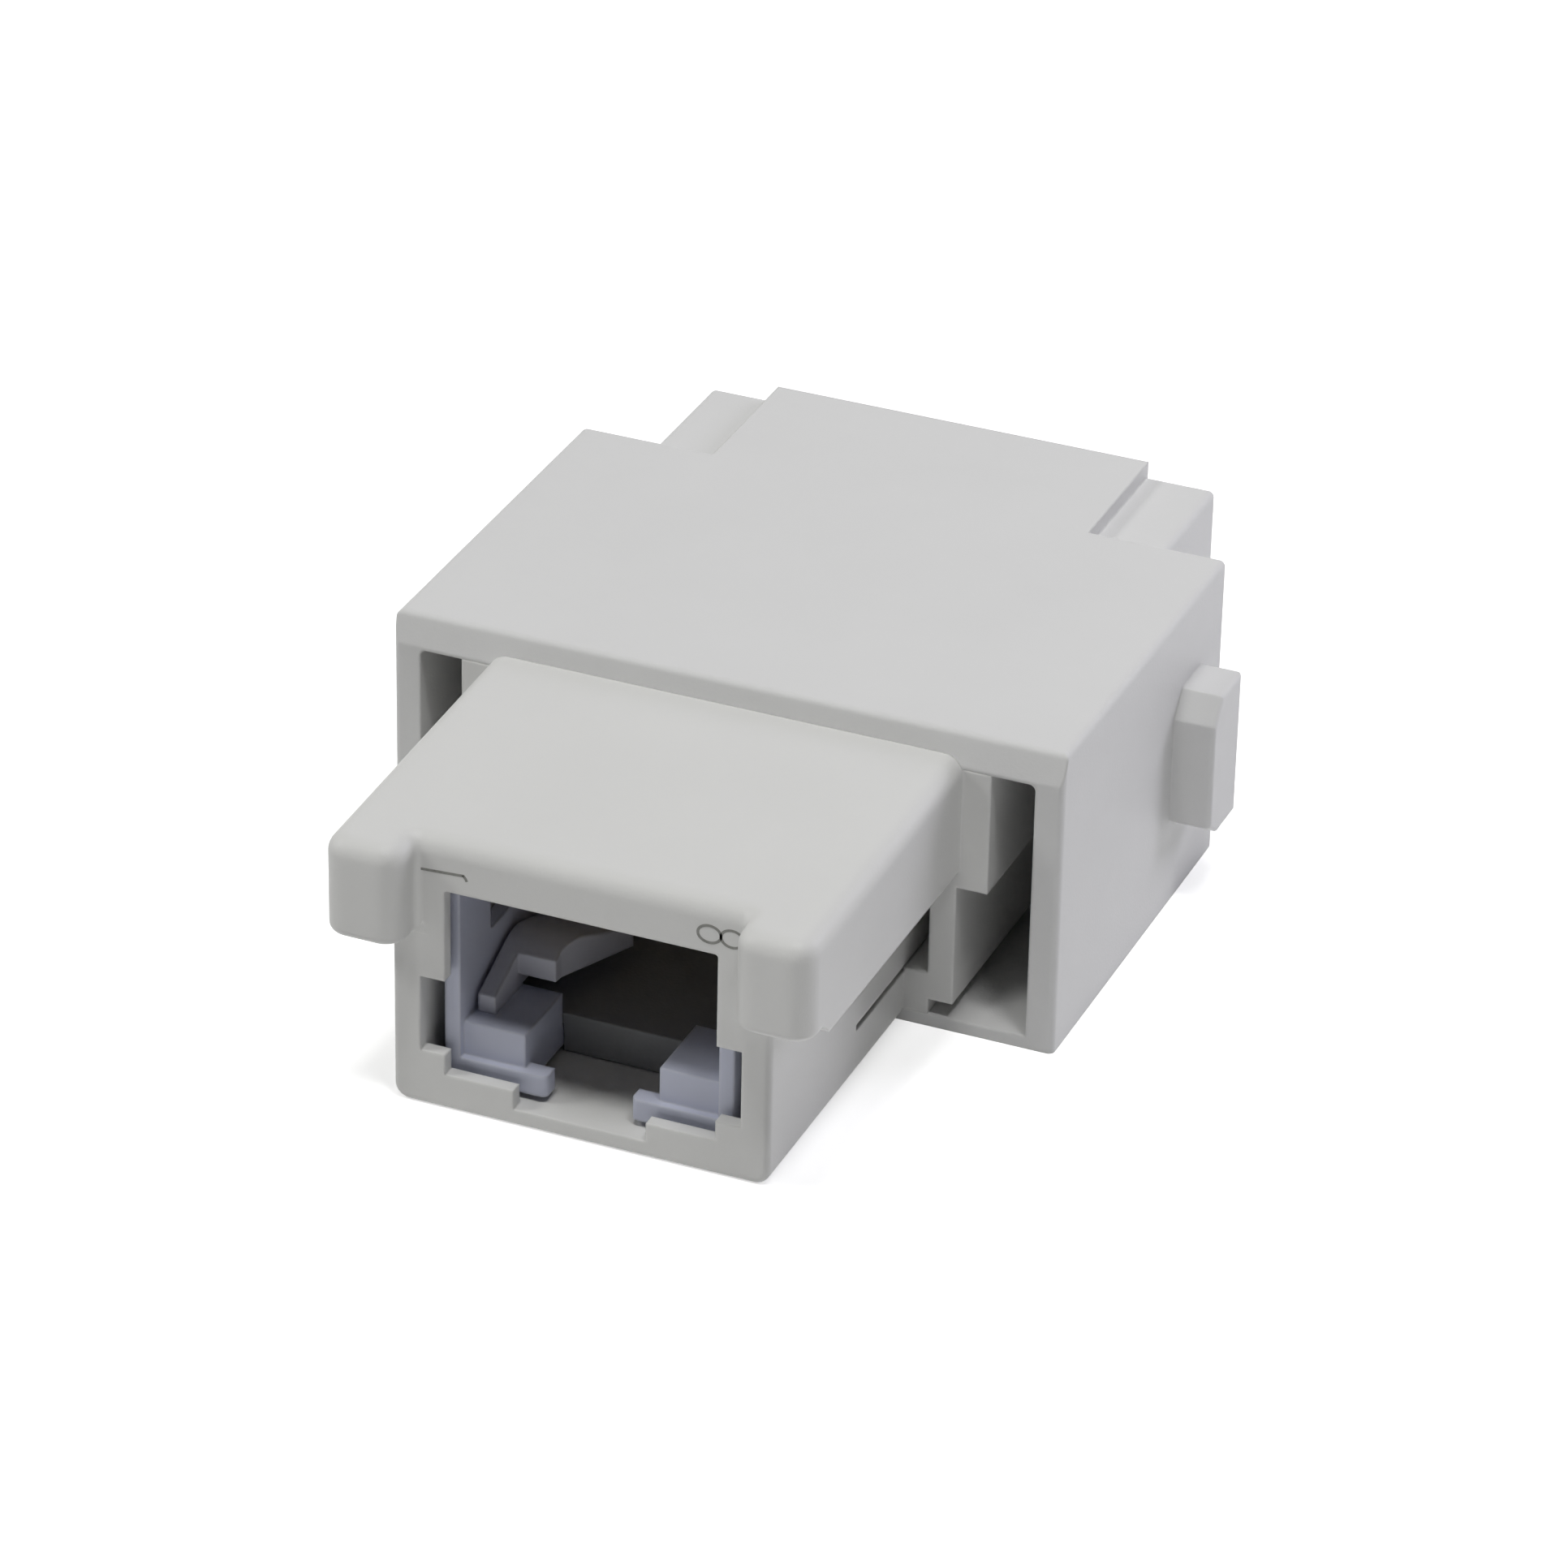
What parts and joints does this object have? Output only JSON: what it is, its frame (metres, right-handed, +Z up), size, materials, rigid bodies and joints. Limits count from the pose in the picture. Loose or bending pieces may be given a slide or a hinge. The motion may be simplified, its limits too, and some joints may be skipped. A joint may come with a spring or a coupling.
{
  "type": "ethernet bulkhead coupler",
  "caption": "Light grey moulded bulkhead coupler with a keyed modular jack at each end, a projecting eared hood in front and side locating pegs.",
  "frame": {"origin": "on the underside, below the middle of the whole length and width", "axes": "+Y runs from the hooded front jack to the rear jack, +Z up from the underside, +X to the right seen from the front"},
  "size_m": [0.0352, 0.0442, 0.0146],
  "materials": {
    "shell_plastic": "satin moulded light grey",
    "hood_plastic": "satin moulded light grey",
    "jack_plastic": "smooth bluish grey",
    "finger_plastic": "smooth pale grey",
    "carrier_plastic": "fine moulded black",
    "contact_metal": "polished gold plating",
    "board_laminate": "lacquered green"
  },
  "bodies": {
    "root": {"module_shell": "shell_plastic", "front_hood": "hood_plastic", "front_jack": "jack_plastic", "rear_jack": "jack_plastic", "front_contact_carrier": "carrier_plastic", "rear_contact_carrier": "carrier_plastic", "coupler_board": "board_laminate", "guide_finger": "finger_plastic", "front_contact_1": "contact_metal", "front_contact_2": "contact_metal", "front_contact_3": "contact_metal", "front_contact_4": "contact_metal", "front_contact_5": "contact_metal", "front_contact_6": "contact_metal", "front_contact_7": "contact_metal", "front_contact_8": "contact_metal", "rear_contact_1": "contact_metal", "rear_contact_2": "contact_metal", "rear_contact_3": "contact_metal", "rear_contact_4": "contact_metal", "rear_contact_5": "contact_metal", "rear_contact_6": "contact_metal", "rear_contact_7": "contact_metal", "rear_contact_8": "contact_metal"}
  },
  "joints": []
}
